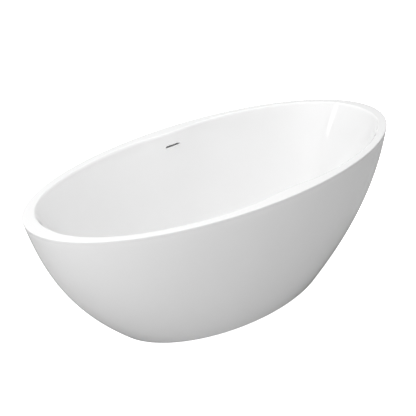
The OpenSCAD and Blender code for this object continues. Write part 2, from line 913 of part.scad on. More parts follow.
// Barrel screwed into the strainer's boss; the stem slides in its top and the spring sits inside
sleeve_low = 72;
sleeve_high = 118;
barrel_bore = 6;
barrel_floor = 3;
shoulder_r = 10.5;
module cartridge_sleeve() {
    shoulder_z = cross_z + cross_t;
    color(brass)
    rotate_extrude()
    polygon([[0, sleeve_low], [barrel_r - 1, sleeve_low], [barrel_r, sleeve_low + 1], [barrel_r, shoulder_z],
        [shoulder_r, shoulder_z], [shoulder_r, shoulder_z + barrel_floor],
        [barrel_r, shoulder_z + barrel_floor], [barrel_r, sleeve_high - 1],
        [barrel_r - 1, sleeve_high], [stem_r + stem_gap, sleeve_high],
        [stem_r + stem_gap, sleeve_high - barrel_floor], [barrel_bore, sleeve_high - barrel_floor],
        [barrel_bore, sleeve_low + barrel_floor], [0, sleeve_low + barrel_floor]]);
}

// Coil spring between the barrel's floor and the stem's collar
spring_turns = 5;
spring_r = 4.6;
wire_r = 0.5;
wire_sides = 6;
steps_per_turn = 12;
spring_low = sleeve_low + barrel_floor + wire_r + 0.1;
spring_high = stem_bottom - wire_r - 0.2;
module cartridge_spring() {
    steps = spring_turns * steps_per_turn;
    rings = [for (j = [0 : steps])
        let (turn = 360 * j / steps_per_turn, z = spring_low + (spring_high - spring_low) * j / steps)
        [for (i = [0 : wire_sides - 1])
            let (t = -360 * i / wire_sides, r = spring_r + wire_r * cos(t))
            [r * cos(turn), r * sin(turn), z + wire_r * sin(t)]]];
    color(steel)
        loft(rings, false);
}

// ---------------------------------------------------------------- assembly

inner_basin();
outer_skirt();
base_board();
frame_rail_front();
frame_rail_rear();
frame_crossbar_left();
frame_crossbar_right();
frame_weld_nuts();
frame_screws();
bracket_screws();
flange_screws();
foot_lock_nuts();
for (k = [1 : 4]) {
    skirt_bracket(k);
    foot_pad(k);
    foot_stud(k);
}
overflow_trim();
overflow_gasket();
overflow_box();
overflow_screws();
overflow_hose();
hose_nut_upper();
hose_nut_lower();
drain_flange();
drain_flange_seal();
drain_gasket();
drain_body();
tailpiece();
tailpiece_washer();
tailpiece_nut();
stopper_cap();
stopper_seal();
stopper_stem();
cartridge_sleeve();
cartridge_spring();
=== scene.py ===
"""The looks of a freestanding oval bathtub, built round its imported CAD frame.

Sizes are in millimetres, as in the CAD source, and become metres where a mesh is made. +Z is up,
+X runs along the tub and +Y points at the overflow wall.
"""

import math

import bmesh
import bpy
import numpy as np
from mathutils import Matrix, Vector


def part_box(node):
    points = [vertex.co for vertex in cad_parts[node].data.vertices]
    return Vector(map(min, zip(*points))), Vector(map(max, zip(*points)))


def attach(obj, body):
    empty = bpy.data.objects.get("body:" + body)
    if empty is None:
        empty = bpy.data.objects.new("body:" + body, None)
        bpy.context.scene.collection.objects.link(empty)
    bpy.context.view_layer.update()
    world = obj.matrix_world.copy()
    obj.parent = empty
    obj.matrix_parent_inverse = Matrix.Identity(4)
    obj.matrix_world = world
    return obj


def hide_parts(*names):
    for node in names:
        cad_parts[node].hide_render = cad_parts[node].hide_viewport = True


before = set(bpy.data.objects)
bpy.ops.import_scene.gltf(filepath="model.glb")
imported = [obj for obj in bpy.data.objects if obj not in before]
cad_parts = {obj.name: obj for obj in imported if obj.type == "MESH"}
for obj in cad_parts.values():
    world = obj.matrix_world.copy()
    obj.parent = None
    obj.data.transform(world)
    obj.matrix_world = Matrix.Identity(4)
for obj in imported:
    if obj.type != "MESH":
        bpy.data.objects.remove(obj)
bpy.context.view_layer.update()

MM = 0.001

# ---------------------------------------------------------------- sizes


def box_mm(node):
    """Lowest and highest corner of a CAD node, in millimetres."""
    low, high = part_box(node)
    return np.array(low) / MM, np.array(high) / MM


basin_low, basin_high = box_mm("inner_basin")
skirt_low, skirt_high = box_mm("outer_skirt")
half_l, half_w, tub_height = basin_high
board_top = basin_low[2]
skirt_gap = skirt_low[2]
seam_z = skirt_high[2]

# Outer surface: the oval on the floor, and for each face how straight it is from foot to rim and
# how early the rest of it bulges
base_l, base_w = 1020, 554
left_straight, left_bulge = 0.446, 2.53
right_straight, right_bulge = 0.243, 2.37
side_straight, side_bulge = 0, 2

# Basin
opening_a, opening_b = 1593 / 2, 699 / 2
waist_depth, waist_length, waist_fade = 16.3, 144, 420
squareness = 2.125
side_lean, end_lean = math.radians(16.2), math.radians(30)
basin_wall = 8
lip_drop, lip_inset = 8, 5
wall_foot = 200
bowl_a, bowl_b = 470, 150
bowl_wall = 8
floor_thick, floor_fall = 10, 4
floor_z = board_top + floor_thick
bowl_edge = floor_z + floor_fall
rim_thick = 8
rim_underside = tub_height - rim_thick
rim_edge_width = 14
rim_radius = 5

# Skirt
skirt_wall, skirt_flange, flange_thick = 5, 40, 6

AROUND = 288
turn = np.linspace(0, 2 * math.pi, AROUND, endpoint=False)
cos_t, sin_t = np.cos(turn), np.sin(turn)

# ---------------------------------------------------------------- mesh making


def mesh_object(name, points, faces, materials, skins=None, sharp=35):
    """A shaded object of the points, in millimetres, with its faces turned outwards."""
    mesh = bpy.data.meshes.new(name)
    mesh.from_pydata((np.asarray(points, float) * MM).tolist(), [], faces)
    for m in materials:
        mesh.materials.append(m)
    if skins is not None:
        mesh.polygons.foreach_set("material_index", np.asarray(skins, np.int32))
    obj = bpy.data.objects.new(name, mesh)
    bpy.context.scene.collection.objects.link(obj)
    clean(obj, sharp)
    return obj


SAME_POINT, NO_LENGTH = 1e-6, 1e-7


def clean(obj, sharp=35):
    """Merges doubled points, turns the faces outwards and keeps only the real edges sharp."""
    bm = bmesh.new()
    bm.from_mesh(obj.data)
    bmesh.ops.remove_doubles(bm, verts=bm.verts, dist=SAME_POINT)
    bmesh.ops.dissolve_degenerate(bm, edges=bm.edges, dist=NO_LENGTH)
    bmesh.ops.recalc_face_normals(bm, faces=bm.faces)
    bm.to_mesh(obj.data)
    bm.free()
    obj.data.shade_smooth()
    obj.data.set_sharp_from_angle(angle=math.radians(sharp))


def grid(rows, wrap=True):
    """Points and faces of rings of equal length. With wrap the last ring joins the first."""
    m, n = len(rows), len(rows[0])
    j, i = np.meshgrid(np.arange(m if wrap else m - 1), np.arange(n), indexing="ij")
    after_j, after_i = (j + 1) % m, (i + 1) % n
    quads = np.stack([j * n + i, j * n + after_i, after_j * n + after_i, after_j * n + i], -1)
    faces = quads.reshape(-1, 4).tolist()
    if not wrap:
        faces += [list(range(n)), list(range((m - 1) * n, m * n))]
    return np.concatenate(rows), faces


def shell(name, bands, materials):
    """A closed ring-shaped shell. A band is (rings, skin): its faces have that material."""
    rows = [row for rings, _ in bands for row in rings]
    skins = [skin for rings, skin in bands for _ in rings for _ in range(AROUND)]
    points, faces = grid(rows)
    return mesh_object(name, points, faces, materials, skins)


def bend(start, corner, end, steps):
    """Rings that turn a corner, from start towards corner and then to end."""
    shares = np.linspace(0, 1, steps + 1)
    return [(1 - s) ** 2 * start + 2 * s * (1 - s) * corner + s * s * end for s in shares]


def between(start, end, shares):
    """Rings at the given shares of the way from start to end."""
    return [start + (end - start) * s for s in shares]


def finished(obj, body, slot, *nodes):
    """The piece stands for these CAD nodes and rides on their body. The slot is not used."""
    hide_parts(*nodes)
    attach(obj, body)
    return obj


def carve(obj, tools, operation="DIFFERENCE"):
    """Cuts the tools out of the object, or joins them on, and removes them."""
    for tool in tools:
        cut = obj.modifiers.new("cut", "BOOLEAN")
        cut.operation = operation
        cut.solver = "EXACT"
        cut.object = tool
    graph = bpy.context.evaluated_depsgraph_get()
    mesh = bpy.data.meshes.new_from_object(obj.evaluated_get(graph))
    obj.modifiers.clear()
    obj.data = mesh
    for tool in tools:
        bpy.data.objects.remove(tool)


def placed(obj, matrix):
    """Moves the object's points, so that the object itself stays at the origin."""
    obj.data.transform(matrix)
    return obj


def revolve(name, profile, materials, segments=96):
    """A solid of revolution about Z. The profile is a closed line of (radius, height)."""
    angles = np.linspace(0, 2 * math.pi, segments, endpoint=False)
    rows = [np.column_stack([r * np.cos(angles), r * np.sin(angles), np.full(segments, z)])
            for r, z in profile]
    points, faces = grid(rows)
    return mesh_object(name, points, faces, materials)


def rounded(corners, steps=5):
    """A closed line through corners of (x, y, radius), with each corner rounded by its radius."""
    line = []
    count = len(corners)
    for k, (x, y, radius) in enumerate(corners):
        here = np.array([x, y], float)
        if not radius:
            line.append(here)
            continue
        before = np.array(corners[k - 1][:2], float) - here
        after = np.array(corners[(k + 1) % count][:2], float) - here
        before /= np.linalg.norm(before)
        after /= np.linalg.norm(after)
        half = math.acos(max(-1, min(1, before @ after))) / 2
        back = radius / math.tan(half)
        centre = here + (before + after) / np.linalg.norm(before + after) * radius / math.sin(half)
        start, end = here + before * back - centre, here + after * back - centre
        sweep = math.atan2(start[0] * end[1] - start[1] * end[0], start @ end)
        for s in range(steps + 1):
            a = sweep * s / steps
            line.append(centre + [start[0] * math.cos(a) - start[1] * math.sin(a),
                                  start[0] * math.sin(a) + start[1] * math.cos(a)])
    return line


# ---------------------------------------------------------------- materials


PLASTIC_IOR = 1.49
# Noise values between which a finish goes from its first value to its second
NOISE_LOW, NOISE_HIGH = 0.3, 0.7
# Size and detail of the noise in the roughness and in the relief
RUB_SHARE, RUB_DETAIL, RELIEF_DETAIL = 0.37, 6, 2


def link(tree, a, out, b, into):
    tree.links.new(a.outputs[out], b.inputs[into])


def surface(name, colours, roughness, metallic=0.0, grain=40.0, bumps=(), stretch=(1, 1, 1), detail=4.0):
    """A procedural finish. Colour and roughness wander between two values on a noise of the given
    grain, and each bump is (scale, strength, height in metres)."""
    made = bpy.data.materials.new(name)
    made.use_nodes = True
    tree = made.node_tree
    shader = tree.nodes["Principled BSDF"]
    shader.inputs["Metallic"].default_value = metallic
    shader.inputs["IOR"].default_value = PLASTIC_IOR
    place = tree.nodes.new("ShaderNodeTexCoord")
    scaled = tree.nodes.new("ShaderNodeMapping")
    scaled.inputs["Scale"].default_value = stretch
    link(tree, place, "Object", scaled, "Vector")

    wander = tree.nodes.new("ShaderNodeTexNoise")
    wander.inputs["Scale"].default_value = grain
    wander.inputs["Detail"].default_value = detail
    link(tree, scaled, "Vector", wander, "Vector")
    ramp = tree.nodes.new("ShaderNodeValToRGB")
    ramp.color_ramp.elements[0].position = NOISE_LOW
    ramp.color_ramp.elements[1].position = NOISE_HIGH
    for element, colour in zip(ramp.color_ramp.elements, colours):
        element.color = (*colour, 1)
    link(tree, wander, "Fac", ramp, "Fac")
    link(tree, ramp, "Color", shader, "Base Color")

    rub = tree.nodes.new("ShaderNodeTexNoise")
    rub.inputs["Scale"].default_value = grain * RUB_SHARE
    rub.inputs["Detail"].default_value = RUB_DETAIL
    link(tree, scaled, "Vector", rub, "Vector")
    span = tree.nodes.new("ShaderNodeMapRange")
    span.inputs["From Min"].default_value = NOISE_LOW
    span.inputs["From Max"].default_value = NOISE_HIGH
    span.inputs["To Min"].default_value = roughness[0]
    span.inputs["To Max"].default_value = roughness[1]
    link(tree, rub, "Fac", span, "Value")
    link(tree, span, "Result", shader, "Roughness")

    normal = None
    for scale, strength, height in bumps:
        relief = tree.nodes.new("ShaderNodeTexNoise")
        relief.inputs["Scale"].default_value = scale
        relief.inputs["Detail"].default_value = RELIEF_DETAIL
        link(tree, scaled, "Vector", relief, "Vector")
        bump = tree.nodes.new("ShaderNodeBump")
        bump.inputs["Strength"].default_value = strength
        bump.inputs["Distance"].default_value = height
        link(tree, relief, "Fac", bump, "Height")
        if normal:
            link(tree, normal, "Normal", bump, "Normal")
        normal = bump
    if normal:
        link(tree, normal, "Normal", shader, "Normal")
    return made


def grey(value, warmth=0.0):
    """A grey, a little warm or cool."""
    return value * (1 + warmth), value, value * (1 - warmth)


acrylic = surface("acrylic_gloss", (grey(0.865), grey(0.88)), (0.03, 0.06), grain=3,
                  bumps=[(4.5, 0.25, 0.0008), (700, 0.04, 0.0002)])
skirt_gloss = surface("skirt_gloss", (grey(0.86), grey(0.875)), (0.09, 0.15), grain=3,
                      bumps=[(5, 0.35, 0.001), (600, 0.05, 0.0002)])
glass_fibre = surface("glass_fibre_back", ((0.62, 0.60, 0.50), (0.78, 0.77, 0.70)), (0.45, 0.7), grain=130,
                      bumps=[(260, 0.6, 0.0008), (38, 0.5, 0.002)])
plywood = surface("plywood", ((0.50, 0.34, 0.19), (0.66, 0.48, 0.29)), (0.5, 0.7), grain=28,
                  stretch=(0.12, 1, 1), bumps=[(160, 0.3, 0.0004)], detail=8)
powder_coat = surface("powder_coat", (grey(0.035), grey(0.05)), (0.42, 0.55), grain=60,
                      bumps=[(1400, 0.25, 0.0003)])
zinc = surface("zinc_steel", (grey(0.55, -0.01), grey(0.72, -0.015)), (0.24, 0.4), metallic=1.0, grain=220,
               bumps=[(500, 0.08, 0.0002)])
spring_wire = surface("spring_wire", (grey(0.5), grey(0.65)), (0.2, 0.32), metallic=1.0, grain=400,
                      bumps=[(900, 0.08, 0.0001)])
nylon = surface("black_nylon", (grey(0.02), grey(0.032)), (0.45, 0.6), grain=300,
                bumps=[(1800, 0.3, 0.0002)])
white_plastic = surface("white_plastic", (grey(0.84, 0.004), grey(0.88, 0.004)), (0.28, 0.4), grain=90,
                        bumps=[(1200, 0.1, 0.0002)])
grey_plastic = surface("grey_plastic", (grey(0.40), grey(0.46)), (0.38, 0.5), grain=120,
                       bumps=[(1200, 0.12, 0.0002)])
chrome = surface("chrome", (grey(0.86, -0.01), grey(0.9, -0.01)), (0.03, 0.08), metallic=1.0, grain=60,
                 bumps=[(90, 0.03, 0.0001)])
rubber = surface("rubber", (grey(0.016), grey(0.03)), (0.6, 0.85), grain=500,
                 bumps=[(1600, 0.35, 0.0002)])
brass = surface("brass", ((0.74, 0.53, 0.24), (0.83, 0.63, 0.32)), (0.18, 0.3), metallic=1.0, grain=150,
                stretch=(1, 1, 6), bumps=[(700, 0.1, 0.0001)])
trim_white = surface("trim_white", (grey(0.93), grey(0.95)), (0.1, 0.16), grain=60,
                     bumps=[(900, 0.05, 0.0001)])

# ---------------------------------------------------------------- the tub's surfaces


def rise(u, straight, bulge):
    """Share of the way out from foot to rim, at share u of the height."""
    return straight * u + (1 - straight) * (1 - (1 - u) ** bulge)


def outer_left(z):
    return base_l / 2 + (half_l - base_l / 2) * rise(z / tub_height, left_straight, left_bulge)


def outer_right(z):
    return base_l / 2 + (half_l - base_l / 2) * rise(z / tub_height, right_straight, right_bulge)


def outer_side(z):
    return base_w / 2 + (half_w - base_w / 2) * rise(z / tub_height, side_straight, side_bulge)


def level_wall(half_size, z):
    """Level thickness that gives the skirt's wall its thickness where it slopes as half_size does."""
    slope = half_size(z + 1) - half_size(z)
    return skirt_wall * math.sqrt(1 + slope * slope)


def outer_row(z, in_end=0, in_side=0):
    """A level ring of the outer surface, set in from it at the ends and at the sides."""
    a = np.where(cos_t > 0, outer_right(z), outer_left(z))
    return np.column_stack([(a - in_end) * cos_t, (outer_side(z) - in_side) * sin_t, np.full(AROUND, z)])


def at_height(row, z):
    return np.column_stack([row[:, :2], np.full(AROUND, z)])


def rim_row(z, inset):
    return at_height(outer_row(tub_height, inset, inset), z)


def basin_row(z, a, b, waist, power=squareness):
    """A slightly squared oval whose long sides are drawn in near the middle of the tub."""
    x = a * np.sign(cos_t) * np.abs(cos_t) ** (2 / power)
    y = b * np.sign(sin_t) * np.abs(sin_t) ** (2 / power)
    drawn_in = np.sign(y) * waist * np.exp(-((x / waist_length) ** 2))
    return np.column_stack([x, y - drawn_in, np.full(AROUND, z)])


def wall_a(z):
    return opening_a - lip_inset - (tub_height - lip_drop - z) * math.tan(end_lean)


def wall_b(z):
    return opening_b - lip_inset - (tub_height - lip_drop - z) * math.tan(side_lean)


def waist_at(z):
    return waist_depth * max(0, 1 - (tub_height - z) / waist_fade)


def wall_row(z, grow_a=0, grow_b=0):
    return basin_row(z, wall_a(z) + grow_a, wall_b(z) + grow_b, waist_at(z))


def bowl_rows(z_flat, a_flat, b_flat, grow_a, grow_b, steps):
    """From the foot of the wall round to the flat of the bowl."""
    fade = waist_at(wall_foot)
    corner = basin_row(z_flat, wall_a(z_flat) + grow_a, wall_b(z_flat) + grow_b, fade / 2)
    return bend(wall_row(wall_foot, grow_a, grow_b), corner, basin_row(z_flat, a_flat, b_flat, 0), steps)


# ---------------------------------------------------------------- basin

VISIBLE, BACK = 0, 1
back_a = basin_wall / math.cos(end_lean)
back_b = basin_wall / math.cos(side_lean)
seam_radius = 0.4
lip_start, lip_end = 4, 14
under_rim_turn, under_rim_out = 8, 6
recess_r, recess_depth, recess_round = 37.5, 3, 1.5
waste_hole_r = 25


def circle_row(r, z):
    return np.column_stack([r * cos_t, r * sin_t, np.full(AROUND, z)])


def basin_floor(z, a, b, r, z_end, steps):
    """Rings that shrink from the bowl's oval to the circle round the waste, with a gentle fall."""
    rows = []
    for s in np.linspace(0, 1, steps + 1)[1:]:
        fall = s * s * (3 - 2 * s)
        power = squareness + (2 - squareness) * s
        rows.append(basin_row(z + (z_end - z) * fall, a + (r - a) * s, b + (r - b) * s, 0, power))
    return rows


def rim_edge_rings():
    """From the seam up round the outer edge of the rim."""
    rings = bend(outer_row(seam_z, seam_radius, seam_radius), outer_row(seam_z),
                 outer_row(seam_z + seam_radius), steps=3)
    return rings + bend(outer_row(tub_height - rim_radius), rim_row(tub_height, 0),
                        rim_row(tub_height, rim_radius), steps=10)


def lip_rings():
    """The soft edge between the rim and the wall."""
    start = basin_row(tub_height, opening_a + lip_start, opening_b + lip_start, waist_at(tub_height))
    return bend(start, wall_row(tub_height), wall_row(tub_height - lip_end), steps=12)


def recess_rings():
    """The sunk seat of the waste and the top of its hole."""
    rings = bend(circle_row(recess_r + recess_round, floor_z), circle_row(recess_r, floor_z),
                 circle_row(recess_r, floor_z - recess_round), steps=6)[1:]
    bottom = floor_z - recess_depth
    return rings + [circle_row(recess_r, bottom), circle_row(waste_hole_r, bottom)]


def back_rings():
    """The rough back, from the waste hole under the floor and up the wall to the seam."""
    under_a, under_b = bowl_a + bowl_wall, bowl_b + bowl_wall
    rings = [circle_row(waste_hole_r, board_top)]
    for s in [0.05, 0.2, 0.4, 0.7]:
        size_a = waste_hole_r + (under_a - waste_hole_r) * s
        size_b = waste_hole_r + (under_b - waste_hole_r) * s
        rings.append(basin_row(board_top, size_a, size_b, 0, 2 + (squareness - 2) * s))
    rings += bowl_rows(board_top, under_a, under_b, back_a, back_b, steps=20)[::-1]
    heights = np.linspace(wall_foot, rim_underside - under_rim_turn, 14)[1:]
    rings += [wall_row(z, back_a, back_b) for z in heights]
    under_rim = wall_row(rim_underside, back_a + under_rim_out, back_b + under_rim_out)
    rings += bend(rings[-1], wall_row(rim_underside, back_a, back_b), under_rim, steps=5)[1:]
    inner_edge = outer_row(seam_z, rim_edge_width, rim_edge_width)
    return rings + [at_height(inner_edge, rim_underside), inner_edge]


def basin_shell():
    rim_edge, lip = rim_edge_rings(), lip_rings()
    rim_top = between(rim_edge[-1], lip[0], [0.03, 0.2, 0.4, 0.6, 0.8, 0.97])
    wall = [wall_row(z) for z in np.linspace(tub_height - lip_end, wall_foot, 18)[1:-1]]
    bowl = bowl_rows(bowl_edge, bowl_a, bowl_b, 0, 0, steps=28)
    floor = basin_floor(bowl_edge, bowl_a, bowl_b, recess_r + recess_round, floor_z, steps=22)
    inside = rim_edge + rim_top + lip + wall + bowl + floor + recess_rings()
    return shell("basin_shell", [(inside, VISIBLE), (back_rings(), BACK)], [acrylic, glass_fibre])


# The overflow's frame: its origin is the slot's centre on the wall, and -Y faces the bather
slot_length, slot_height, slot_drop = 73, 7, 53
slot_z = tub_height - slot_drop
slot_y = wall_b(slot_z) - waist_at(slot_z)
overflow_place = Matrix.Translation((0, slot_y * MM, slot_z * MM)) @ Matrix.Rotation(-side_lean, 4, "X")
trim_border, trim_proud, seat_depth, sleeve_wall, sleeve_end = 3, 0.8, 1.2, 1.6, 9
seat_play, seat_flare, sleeve_play = 0.5, 1.6, 0.4
boss_l, boss_h, boss_from, boss_to = 112, 46, 4, 12
boss_corner, boss_taper = 6, 0.985
box_screw_x, box_screw_r, box_screw_depth = 49, 1.8, 5
cut_past, wall_cut_past = 1, 6


def slot_line(grow, depth, points=96):
    """The slot's outline grown outwards, at a depth along Y of the overflow's frame."""
    r = slot_height / 2
    angles = (np.arange(points) + 0.5) * 2 * math.pi / points
    x = np.sign(np.cos(angles)) * (slot_length / 2 - r) + (r + grow) * np.cos(angles)
    return np.column_stack([x, np.full(points, depth), (r + grow) * np.sin(angles)])


def slot_solid(name, sections, materials, wrap=False):
    """A solid of the slot's outline, through sections of (growth, depth)."""
    points, faces = grid([slot_line(grow, depth) for grow, depth in sections], wrap)
    return placed(mesh_object(name, points, faces, materials), overflow_place)


def overflow_boss():
    """The thick pad behind the wall that the overflow's box is screwed to."""
    outline = rounded([(x * boss_l / 2, z * boss_h / 2, boss_corner)
                       for x, z in [(-1, -1), (1, -1), (1, 1), (-1, 1)]])
    rows = [np.array([[x * k, depth, z * k] for x, z in outline])
            for depth, k in [(boss_from, 1), (boss_to - 1, 1), (boss_to, boss_taper)]]
    points, faces = grid(rows, wrap=False)
    boss = mesh_object("boss", points, faces, [acrylic, glass_fibre], [BACK] * len(faces))
    return placed(boss, overflow_place)


def pin(name, x, y, z_from, z_to, r, segments=48):
    """An upright round bar that cuts a hole."""
    tool = revolve(name, [(0, z_from), (r, z_from), (r, z_to), (0, z_to)], [], segments)
    return placed(tool, Matrix.Translation((x * MM, y * MM, 0)))


def make_basin():
    basin = basin_shell()
    carve(basin, [overflow_boss()], "UNION")
    mouth, fit, bore = trim_border + seat_flare, trim_border + seat_play, sleeve_wall + sleeve_play
    seat = slot_solid("seat", [(mouth, -wall_cut_past), (mouth, -0.6), (fit, 0.4), (fit, seat_depth)], [])
    passage = slot_solid("passage", [(bore, -wall_cut_past), (bore, boss_to + 2 * cut_past)], [])
    screw_holes = []
    for side in (-1, 1):
        hole = pin("hole", 0, 0, boss_to - box_screw_depth, boss_to + cut_past, box_screw_r)
        placed(hole, Matrix.Rotation(-math.pi / 2, 4, "X"))
        placed(hole, Matrix.Translation((side * box_screw_x * MM, 0, 0)))
        screw_holes.append(placed(hole, overflow_place))
    carve(basin, [seat, passage, *screw_holes])
    clean(basin)
    finished(basin, "tub", "basin_acrylic", "inner_basin")


def make_overflow_trim():
    """The slot's thin bezel and its sleeve, as sections of (growth of the slot's outline, depth)."""
    sections = [(0, sleeve_end), (0, 0), (0.05, -0.45), (0.25, -0.7), (0.6, -trim_proud),
                (trim_border - 0.7, -trim_proud), (trim_border - 0.2, -0.55), (trim_border, -0.1),
                (trim_border, seat_depth), (sleeve_wall, seat_depth), (sleeve_wall, sleeve_end)]
    trim = slot_solid("overflow_slot_trim", sections, [trim_white], wrap=True)
    finished(trim, "tub", "trim_white", "overflow_trim")


# ---------------------------------------------------------------- skirt

flange_top = skirt_gap + flange_thick
bracket_x, bracket_y, bracket_hole_r = 200, 222, 2.45
shelf_drop = 5
foot_round, flange_round = 2.5, 1
inside_top, inside_foot, fillet_top = 548, 20, 18
# How far in the fillet's corner and end lie, at the ends and at the sides
fillet_corner, fillet_end = (10, 8), (18, 16)


def skirt_inside(z):
    """A level ring of the skirt's inner surface."""
    right = outer_right(z) - level_wall(outer_right, z)
    left = outer_left(z) - level_wall(outer_left, z)
    a = np.where(cos_t > 0, right, left)
    b = outer_side(z) - level_wall(outer_side, z)
    return np.column_stack([a * cos_t, b * sin_t, np.full(AROUND, z)])


def skirt_outside():
    """Rings from the foot's rounded edge up to the seam, closer together near the foot."""
    rings = bend(outer_row(skirt_gap, foot_round, foot_round), outer_row(skirt_gap),
                 outer_row(skirt_gap + foot_round), steps=6)
    low, high = skirt_gap + foot_round, seam_z - seam_radius
    rings += [outer_row(low + (high - low) * s) for s in np.linspace(0, 1, 46)[1:-1] ** 1.3]
    return rings + bend(outer_row(high), outer_row(seam_z),
                        outer_row(seam_z, seam_radius, seam_radius), steps=3)


def skirt_back():
    """Rings from the shelf under the rim down the inner surface and round the flange."""
    shelf = outer_row(seam_z, rim_edge_width, rim_edge_width)
    rings = [shelf, at_height(shelf, seam_z - shelf_drop)]
    rings += [skirt_inside(z) for z in np.linspace(inside_top, inside_foot, 26)]
    rings += bend(skirt_inside(fillet_top), outer_row(flange_top, *fillet_corner),
                  outer_row(flange_top, *fillet_end), steps=5)
    flat = skirt_flange - flange_round
    return rings + [outer_row(flange_top, flat, flat),
                    outer_row(flange_top - flange_round, skirt_flange, skirt_flange),
                    outer_row(skirt_gap + flange_round, skirt_flange, skirt_flange),
                    outer_row(skirt_gap, flat, flat)]


def make_skirt():
    bands = [(skirt_outside(), VISIBLE), (skirt_back(), BACK)]
    skirt = shell("skirt_shell", bands, [skirt_gloss, glass_fibre])
    holes = [pin("hole", x, y, skirt_gap + cut_past, flange_top + cut_past, bracket_hole_r)
             for x in (-bracket_x, bracket_x) for y in (-bracket_y, bracket_y)]
    carve(skirt, holes)
    clean(skirt)
    finished(skirt, "tub", "skirt_acrylic", "outer_skirt")


# ---------------------------------------------------------------- waste and stopper

flange_low, flange_high = box_mm("drain_flange")
cap_low, cap_high = box_mm("stopper_cap")

# Flange of the waste, and the strainer's cross inside its sleeve
sleeve_r, sleeve_bore, flange_lip = 24.5, 21, 3
cross_z, cross_t, cross_w, cross_edge = 96, 4, 3.5, 0.6
cross_boss_r, barrel_r = 11, 8.1

# Stopper's cap: its stem's bore, the boss round that and the disc
stem_bore, cap_boss_r, cap_boss_h, cap_edge_h = 3.55, 8, 5, 2.6


def flange_ring():
    """The flange and its sleeve in one turned piece."""
    bottom, top, r = flange_low[2], flange_high[2], flange_high[0]
    under = top - flange_lip
    profile = rounded([(sleeve_r, bottom, 0.4), (sleeve_r, under, 0), (r - 0.4, under, 0.3),
                       (r, top - 1.6, 1.2), (r - 2.6, top, 3), (sleeve_bore + 3.5, top, 2.5),
                       (sleeve_bore, top - 5, 2), (sleeve_bore, bottom, 0.4)], steps=8)
    return revolve("drain_flange_ring", profile, [chrome], 128)


def cross_arm(angle):
    """One bar of the strainer's cross, let a little into the sleeve at both ends."""
    half, top = cross_w / 2, cross_z + cross_t
    section = rounded([(-half, cross_z, cross_edge), (half, cross_z, cross_edge),
                       (half, top, cross_edge), (-half, top, cross_edge)])
    reach = sleeve_bore + 1
    rows = [np.array([[x, y, z] for y, z in section]) for x in (-reach, reach)]
    points, faces = grid(rows, wrap=False)
    return placed(mesh_object("arm", points, faces, [chrome]), Matrix.Rotation(angle, 4, "Z"))


def make_drain_flange():
    """The flange with the strainer's cross, whose boss has the hole for the stopper's cartridge."""
    flange = flange_ring()
    top = cross_z + cross_t
    boss_profile = rounded([(0, cross_z, 0), (cross_boss_r, cross_z, cross_edge),
                            (cross_boss_r, top, cross_edge), (0, top, 0)])
    boss = revolve("boss", boss_profile, [chrome])
    carve(flange, [cross_arm(0), cross_arm(math.pi / 2), boss], "UNION")
    carve(flange, [pin("hole", 0, 0, cross_z - cut_past, top + cut_past, barrel_r, 64)])
    clean(flange)
    finished(flange, "tub", "chrome", "drain_flange")


def make_stopper_cap():
    """A domed disc with a soft edge, and a boss under it for the stem."""
    bottom, high, r = cap_low[2], cap_high[2], cap_high[0]
    low = bottom + cap_boss_h
    edge_r, edge_z = r - 1, low + cap_edge_h
    boss = rounded([(stem_bore, bottom, 0), (cap_boss_r, bottom, 0.6), (cap_boss_r, low, 0.8)])
    rim = [(r - 1.2, low), (r - 0.5, low + 0.2), (r - 0.1, low + 0.7), (r, low + 1.4),
           (r - 0.1, low + 1.9), (r - 0.4, low + 2.3), (edge_r, edge_z)]
    dome = [(edge_r * (1 - s), edge_z + (high - edge_z) * (1 - (1 - s) ** 2))
            for s in np.linspace(0, 1, 16)[1:]]
    profile = [*boss, *rim, *dome, (0, low + 1), (stem_bore, low + 1)]
    cap = revolve("stopper_cap_dome", profile, [chrome], 128)
    finished(cap, "stopper", "chrome", "stopper_cap")


# ---------------------------------------------------------------- hose, studs and spring


def tube(name, centres, directions, sides, radius_at, bore, material):
    """A hose round a line in the YZ plane. radius_at gives the outer radius of each ring."""
    angles = np.linspace(0, 2 * math.pi, sides, endpoint=False)

    def ring(j, r):
        (y, z), (dy, dz) = centres[j], directions[j]
        return np.column_stack([r * np.cos(angles), y - dz * r * np.sin(angles), z + dy * r * np.sin(angles)])

    count = len(centres)
    rows = [ring(j, radius_at[j]) for j in range(count)]
    rows += [ring(j, bore) for j in range(count - 1, -1, -1)]
    points, faces = grid(rows)
    return mesh_object(name, points, faces, [material], sharp=60)


def smooth_line(route, steps):
    """Points of a Catmull-Rom curve through the route."""
    line = []
    for k in range(len(route) - 1):
        a, b, c, d = (np.array(route[max(0, min(len(route) - 1, k + e))], float) for e in (-1, 0, 1, 2))
        for s in np.arange(steps) / steps:
            line.append(0.5 * (2 * b + s * (c - a) + s * s * (2 * a - 5 * b + 4 * c - d)
                               + s ** 3 * (3 * b - a - 3 * c + d)))
    return np.array([*line, route[-1]])


# The hose leaves the overflow's spout along its slope and enters the side of the waste body level
spout_y, spout_end, hose_straight = 30, 46, 13
hose_r, hose_bore, hose_ring_gap = 14, 11, 1.2
hose_cuff, hose_fade, hose_pitch, hose_groove = 24, 4, 7.2, 2.2
hose_route = [(320, 424), (311, 370), (306, 300), (302, 232), (291, 168), (266, 114), (228, 76),
              (180, 58), (130, 54), (85, 54), (46, 54)]


def hose_line():
    """Points (y, z) along the hose's middle, and how far along it each lies."""
    away = np.array([-math.sin(side_lean), -math.cos(side_lean)])
    tip = (slot_y + spout_y * math.cos(side_lean) - spout_end * math.sin(side_lean),
           slot_z - spout_y * math.sin(side_lean) - spout_end * math.cos(side_lean))
    line = smooth_line([tip, tip + away * hose_straight, *hose_route], 60)
    along = np.concatenate([[0], np.cumsum(np.linalg.norm(np.diff(line, axis=0), axis=1))])
    return line, along, away


